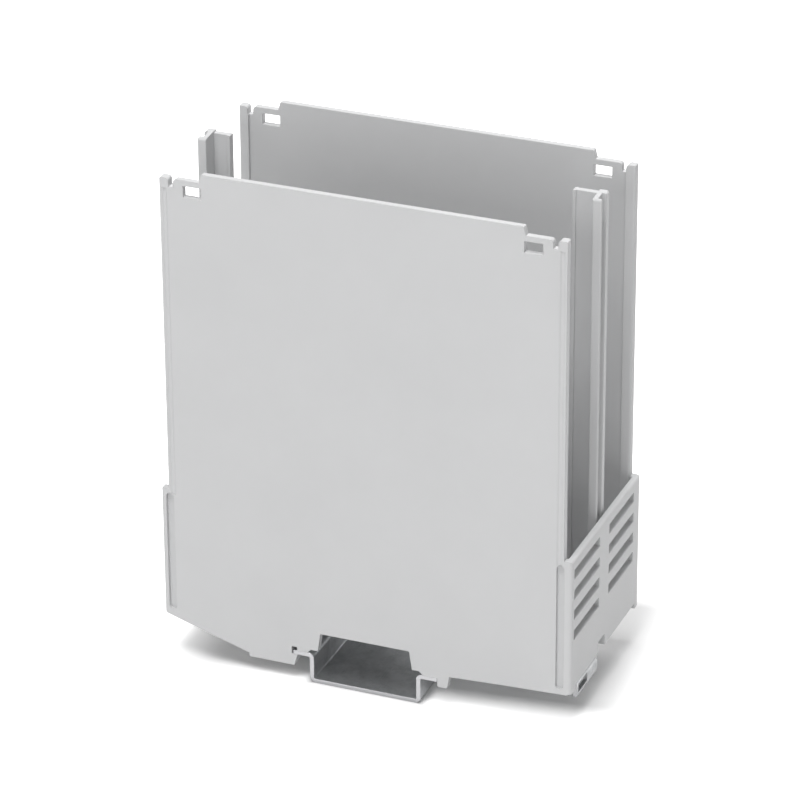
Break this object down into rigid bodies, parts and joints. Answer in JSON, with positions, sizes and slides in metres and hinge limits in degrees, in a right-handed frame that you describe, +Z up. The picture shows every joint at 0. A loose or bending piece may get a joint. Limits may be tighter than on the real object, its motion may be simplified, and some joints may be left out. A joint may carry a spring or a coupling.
{
  "type": "din rail enclosure",
  "caption": "Open-topped light grey plastic lower housing for rail-mounted electronics, with slotted end walls, guide posts and a sprung steel foot catch, on a short piece of top-hat rail.",
  "frame": {"origin": "middle of the rail section's underside", "axes": "+Z up and out of the open top, +Y along the rail, +X across the rail towards the foot catch's end"},
  "size_m": [0.099, 0.0452, 0.122],
  "materials": {
    "housing": "fine matte light grey polyamide",
    "catch": "zinc plated sheet steel",
    "spring": "drawn spring wire",
    "rail": "zinc plated sheet steel"
  },
  "bodies": {
    "housing": {"housing_base": "housing", "rail_section": "rail", "catch_spring": "spring"},
    "catch": {"foot_catch": "catch"}
  },
  "joints": [
    {"name": "catch_slide", "type": "slide", "parent": "housing", "child": "catch", "axis": [1, 0, 0], "range_m": [0, 0.003], "stiffness_N_per_m": 600, "deforming": ["catch_spring"]}
  ]
}
